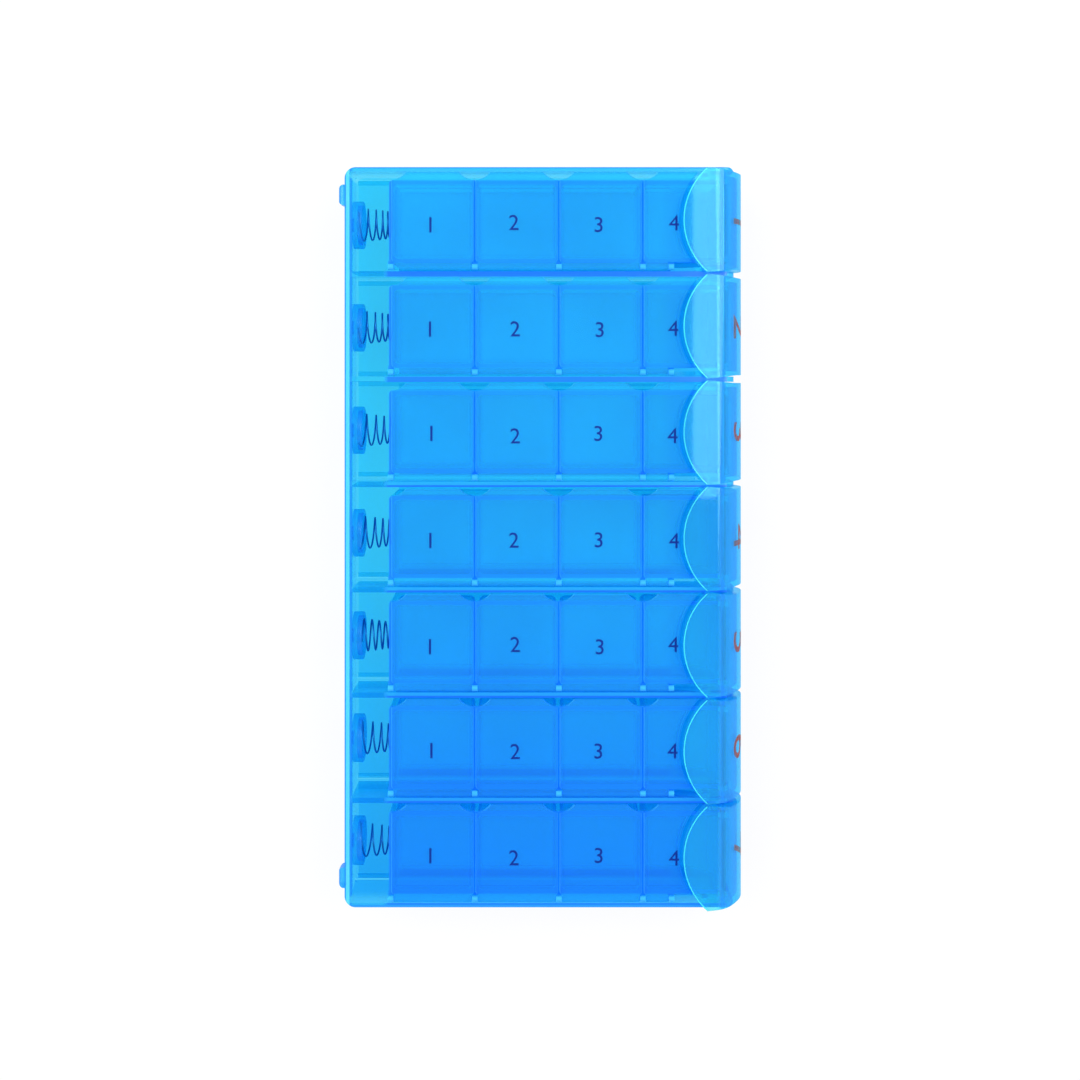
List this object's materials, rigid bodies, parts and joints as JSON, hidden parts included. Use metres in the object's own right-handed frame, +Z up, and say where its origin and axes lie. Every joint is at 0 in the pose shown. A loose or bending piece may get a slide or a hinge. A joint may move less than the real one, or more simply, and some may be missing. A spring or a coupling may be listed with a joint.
{
  "type": "weekly pill organizer",
  "caption": "Flat case of spring-loaded daily boxes with hinged pocket lids, each box let go by a press latch on its round nose.",
  "frame": {"origin": "under the middle of the whole object, on the surface it lies on", "axes": "+X from the rear wall to the noses of the boxes, +Y along the row of days towards day 1, +Z up"},
  "size_m": [0.1184, 0.2152, 0.03],
  "materials": {
    "case_plastic": "clear blue, smooth",
    "box_plastic": "frosted blue",
    "lid_plastic": "frosted blue",
    "latch_plastic": "clear blue, smooth",
    "seat_plastic": "deeper blue",
    "spring_steel": "drawn wire",
    "pin_steel": "drawn wire"
  },
  "bodies": {
    "case": {"case_shell": "case_plastic", "spring_seats": "seat_plastic", "eject_spring_1": "spring_steel", "eject_spring_2": "spring_steel", "eject_spring_3": "spring_steel", "eject_spring_4": "spring_steel", "eject_spring_5": "spring_steel", "eject_spring_6": "spring_steel", "eject_spring_7": "spring_steel"},
    "box_1": {"daily_box_1": "box_plastic", "latch_pin_1": "pin_steel"},
    "latch_1": {"release_latch_1": "latch_plastic"},
    "lid_1_1": {"pocket_lid_1_1": "lid_plastic"},
    "lid_1_2": {"pocket_lid_1_2": "lid_plastic"},
    "lid_1_3": {"pocket_lid_1_3": "lid_plastic"},
    "lid_1_4": {"pocket_lid_1_4": "lid_plastic"},
    "box_2": {"daily_box_2": "box_plastic", "latch_pin_2": "pin_steel"},
    "latch_2": {"release_latch_2": "latch_plastic"},
    "lid_2_1": {"pocket_lid_2_1": "lid_plastic"},
    "lid_2_2": {"pocket_lid_2_2": "lid_plastic"},
    "lid_2_3": {"pocket_lid_2_3": "lid_plastic"},
    "lid_2_4": {"pocket_lid_2_4": "lid_plastic"},
    "box_3": {"daily_box_3": "box_plastic", "latch_pin_3": "pin_steel"},
    "latch_3": {"release_latch_3": "latch_plastic"},
    "lid_3_1": {"pocket_lid_3_1": "lid_plastic"},
    "lid_3_2": {"pocket_lid_3_2": "lid_plastic"},
    "lid_3_3": {"pocket_lid_3_3": "lid_plastic"},
    "lid_3_4": {"pocket_lid_3_4": "lid_plastic"},
    "box_4": {"daily_box_4": "box_plastic", "latch_pin_4": "pin_steel"},
    "latch_4": {"release_latch_4": "latch_plastic"},
    "lid_4_1": {"pocket_lid_4_1": "lid_plastic"},
    "lid_4_2": {"pocket_lid_4_2": "lid_plastic"},
    "lid_4_3": {"pocket_lid_4_3": "lid_plastic"},
    "lid_4_4": {"pocket_lid_4_4": "lid_plastic"},
    "box_5": {"daily_box_5": "box_plastic", "latch_pin_5": "pin_steel"},
    "latch_5": {"release_latch_5": "latch_plastic"},
    "lid_5_1": {"pocket_lid_5_1": "lid_plastic"},
    "lid_5_2": {"pocket_lid_5_2": "lid_plastic"},
    "lid_5_3": {"pocket_lid_5_3": "lid_plastic"},
    "lid_5_4": {"pocket_lid_5_4": "lid_plastic"},
    "box_6": {"daily_box_6": "box_plastic", "latch_pin_6": "pin_steel"},
    "latch_6": {"release_latch_6": "latch_plastic"},
    "lid_6_1": {"pocket_lid_6_1": "lid_plastic"},
    "lid_6_2": {"pocket_lid_6_2": "lid_plastic"},
    "lid_6_3": {"pocket_lid_6_3": "lid_plastic"},
    "lid_6_4": {"pocket_lid_6_4": "lid_plastic"},
    "box_7": {"daily_box_7": "box_plastic", "latch_pin_7": "pin_steel"},
    "latch_7": {"release_latch_7": "latch_plastic"},
    "lid_7_1": {"pocket_lid_7_1": "lid_plastic"},
    "lid_7_2": {"pocket_lid_7_2": "lid_plastic"},
    "lid_7_3": {"pocket_lid_7_3": "lid_plastic"},
    "lid_7_4": {"pocket_lid_7_4": "lid_plastic"}
  },
  "joints": [
    {"name": "box_1_slide", "type": "slide", "parent": "case", "child": "box_1", "axis": [1, 0, 0], "range_m": [0, 0.102], "deforming": ["eject_spring_1"]},
    {"name": "latch_1_press", "type": "hinge", "parent": "box_1", "child": "latch_1", "pos_m": [0.0528, 0.0918, 0.0253], "axis": [0, -1, 0], "range_deg": [0, 6], "stiffness_Nm_per_rad": 0.05, "springref_deg": -1.72},
    {"name": "lid_1_1_hinge", "type": "hinge", "parent": "box_1", "child": "lid_1_1", "pos_m": [-0.03145, 0.0786, 0.0249], "axis": [1, 0, 0], "range_deg": [0, 105]},
    {"name": "lid_1_2_hinge", "type": "hinge", "parent": "box_1", "child": "lid_1_2", "pos_m": [-0.00705, 0.0786, 0.0249], "axis": [1, 0, 0], "range_deg": [0, 105]},
    {"name": "lid_1_3_hinge", "type": "hinge", "parent": "box_1", "child": "lid_1_3", "pos_m": [0.01735, 0.0786, 0.0249], "axis": [1, 0, 0], "range_deg": [0, 105]},
    {"name": "lid_1_4_hinge", "type": "hinge", "parent": "box_1", "child": "lid_1_4", "pos_m": [0.03355, 0.0786, 0.0249], "axis": [1, 0, 0], "range_deg": [0, 105]},
    {"name": "box_2_slide", "type": "slide", "parent": "case", "child": "box_2", "axis": [1, 0, 0], "range_m": [0, 0.102], "deforming": ["eject_spring_2"]},
    {"name": "latch_2_press", "type": "hinge", "parent": "box_2", "child": "latch_2", "pos_m": [0.0528, 0.0612, 0.0253], "axis": [0, -1, 0], "range_deg": [0, 6], "stiffness_Nm_per_rad": 0.05, "springref_deg": -1.72},
    {"name": "lid_2_1_hinge", "type": "hinge", "parent": "box_2", "child": "lid_2_1", "pos_m": [-0.03145, 0.048, 0.0249], "axis": [1, 0, 0], "range_deg": [0, 105]},
    {"name": "lid_2_2_hinge", "type": "hinge", "parent": "box_2", "child": "lid_2_2", "pos_m": [-0.00705, 0.048, 0.0249], "axis": [1, 0, 0], "range_deg": [0, 105]},
    {"name": "lid_2_3_hinge", "type": "hinge", "parent": "box_2", "child": "lid_2_3", "pos_m": [0.01735, 0.048, 0.0249], "axis": [1, 0, 0], "range_deg": [0, 105]},
    {"name": "lid_2_4_hinge", "type": "hinge", "parent": "box_2", "child": "lid_2_4", "pos_m": [0.03355, 0.048, 0.0249], "axis": [1, 0, 0], "range_deg": [0, 105]},
    {"name": "box_3_slide", "type": "slide", "parent": "case", "child": "box_3", "axis": [1, 0, 0], "range_m": [0, 0.102], "deforming": ["eject_spring_3"]},
    {"name": "latch_3_press", "type": "hinge", "parent": "box_3", "child": "latch_3", "pos_m": [0.0528, 0.0306, 0.0253], "axis": [0, -1, 0], "range_deg": [0, 6], "stiffness_Nm_per_rad": 0.05, "springref_deg": -1.72},
    {"name": "lid_3_1_hinge", "type": "hinge", "parent": "box_3", "child": "lid_3_1", "pos_m": [-0.03145, 0.0174, 0.0249], "axis": [1, 0, 0], "range_deg": [0, 105]},
    {"name": "lid_3_2_hinge", "type": "hinge", "parent": "box_3", "child": "lid_3_2", "pos_m": [-0.00705, 0.0174, 0.0249], "axis": [1, 0, 0], "range_deg": [0, 105]},
    {"name": "lid_3_3_hinge", "type": "hinge", "parent": "box_3", "child": "lid_3_3", "pos_m": [0.01735, 0.0174, 0.0249], "axis": [1, 0, 0], "range_deg": [0, 105]},
    {"name": "lid_3_4_hinge", "type": "hinge", "parent": "box_3", "child": "lid_3_4", "pos_m": [0.03355, 0.0174, 0.0249], "axis": [1, 0, 0], "range_deg": [0, 105]},
    {"name": "box_4_slide", "type": "slide", "parent": "case", "child": "box_4", "axis": [1, 0, 0], "range_m": [0, 0.102], "deforming": ["eject_spring_4"]},
    {"name": "latch_4_press", "type": "hinge", "parent": "box_4", "child": "latch_4", "pos_m": [0.0528, 0, 0.0253], "axis": [0, -1, 0], "range_deg": [0, 6], "stiffness_Nm_per_rad": 0.05, "springref_deg": -1.72},
    {"name": "lid_4_1_hinge", "type": "hinge", "parent": "box_4", "child": "lid_4_1", "pos_m": [-0.03145, -0.0132, 0.0249], "axis": [1, 0, 0], "range_deg": [0, 105]},
    {"name": "lid_4_2_hinge", "type": "hinge", "parent": "box_4", "child": "lid_4_2", "pos_m": [-0.00705, -0.0132, 0.0249], "axis": [1, 0, 0], "range_deg": [0, 105]},
    {"name": "lid_4_3_hinge", "type": "hinge", "parent": "box_4", "child": "lid_4_3", "pos_m": [0.01735, -0.0132, 0.0249], "axis": [1, 0, 0], "range_deg": [0, 105]},
    {"name": "lid_4_4_hinge", "type": "hinge", "parent": "box_4", "child": "lid_4_4", "pos_m": [0.03355, -0.0132, 0.0249], "axis": [1, 0, 0], "range_deg": [0, 105]},
    {"name": "box_5_slide", "type": "slide", "parent": "case", "child": "box_5", "axis": [1, 0, 0], "range_m": [0, 0.102], "deforming": ["eject_spring_5"]},
    {"name": "latch_5_press", "type": "hinge", "parent": "box_5", "child": "latch_5", "pos_m": [0.0528, -0.0306, 0.0253], "axis": [0, -1, 0], "range_deg": [0, 6], "stiffness_Nm_per_rad": 0.05, "springref_deg": -1.72},
    {"name": "lid_5_1_hinge", "type": "hinge", "parent": "box_5", "child": "lid_5_1", "pos_m": [-0.03145, -0.0438, 0.0249], "axis": [1, 0, 0], "range_deg": [0, 105]},
    {"name": "lid_5_2_hinge", "type": "hinge", "parent": "box_5", "child": "lid_5_2", "pos_m": [-0.00705, -0.0438, 0.0249], "axis": [1, 0, 0], "range_deg": [0, 105]},
    {"name": "lid_5_3_hinge", "type": "hinge", "parent": "box_5", "child": "lid_5_3", "pos_m": [0.01735, -0.0438, 0.0249], "axis": [1, 0, 0], "range_deg": [0, 105]},
    {"name": "lid_5_4_hinge", "type": "hinge", "parent": "box_5", "child": "lid_5_4", "pos_m": [0.03355, -0.0438, 0.0249], "axis": [1, 0, 0], "range_deg": [0, 105]},
    {"name": "box_6_slide", "type": "slide", "parent": "case", "child": "box_6", "axis": [1, 0, 0], "range_m": [0, 0.102], "deforming": ["eject_spring_6"]},
    {"name": "latch_6_press", "type": "hinge", "parent": "box_6", "child": "latch_6", "pos_m": [0.0528, -0.0612, 0.0253], "axis": [0, -1, 0], "range_deg": [0, 6], "stiffness_Nm_per_rad": 0.05, "springref_deg": -1.72},
    {"name": "lid_6_1_hinge", "type": "hinge", "parent": "box_6", "child": "lid_6_1", "pos_m": [-0.03145, -0.0744, 0.0249], "axis": [1, 0, 0], "range_deg": [0, 105]},
    {"name": "lid_6_2_hinge", "type": "hinge", "parent": "box_6", "child": "lid_6_2", "pos_m": [-0.00705, -0.0744, 0.0249], "axis": [1, 0, 0], "range_deg": [0, 105]},
    {"name": "lid_6_3_hinge", "type": "hinge", "parent": "box_6", "child": "lid_6_3", "pos_m": [0.01735, -0.0744, 0.0249], "axis": [1, 0, 0], "range_deg": [0, 105]},
    {"name": "lid_6_4_hinge", "type": "hinge", "parent": "box_6", "child": "lid_6_4", "pos_m": [0.03355, -0.0744, 0.0249], "axis": [1, 0, 0], "range_deg": [0, 105]},
    {"name": "box_7_slide", "type": "slide", "parent": "case", "child": "box_7", "axis": [1, 0, 0], "range_m": [0, 0.102], "deforming": ["eject_spring_7"]},
    {"name": "latch_7_press", "type": "hinge", "parent": "box_7", "child": "latch_7", "pos_m": [0.0528, -0.0918, 0.0253], "axis": [0, -1, 0], "range_deg": [0, 6], "stiffness_Nm_per_rad": 0.05, "springref_deg": -1.72},
    {"name": "lid_7_1_hinge", "type": "hinge", "parent": "box_7", "child": "lid_7_1", "pos_m": [-0.03145, -0.105, 0.0249], "axis": [1, 0, 0], "range_deg": [0, 105]},
    {"name": "lid_7_2_hinge", "type": "hinge", "parent": "box_7", "child": "lid_7_2", "pos_m": [-0.00705, -0.105, 0.0249], "axis": [1, 0, 0], "range_deg": [0, 105]},
    {"name": "lid_7_3_hinge", "type": "hinge", "parent": "box_7", "child": "lid_7_3", "pos_m": [0.01735, -0.105, 0.0249], "axis": [1, 0, 0], "range_deg": [0, 105]},
    {"name": "lid_7_4_hinge", "type": "hinge", "parent": "box_7", "child": "lid_7_4", "pos_m": [0.03355, -0.105, 0.0249], "axis": [1, 0, 0], "range_deg": [0, 105]}
  ]
}
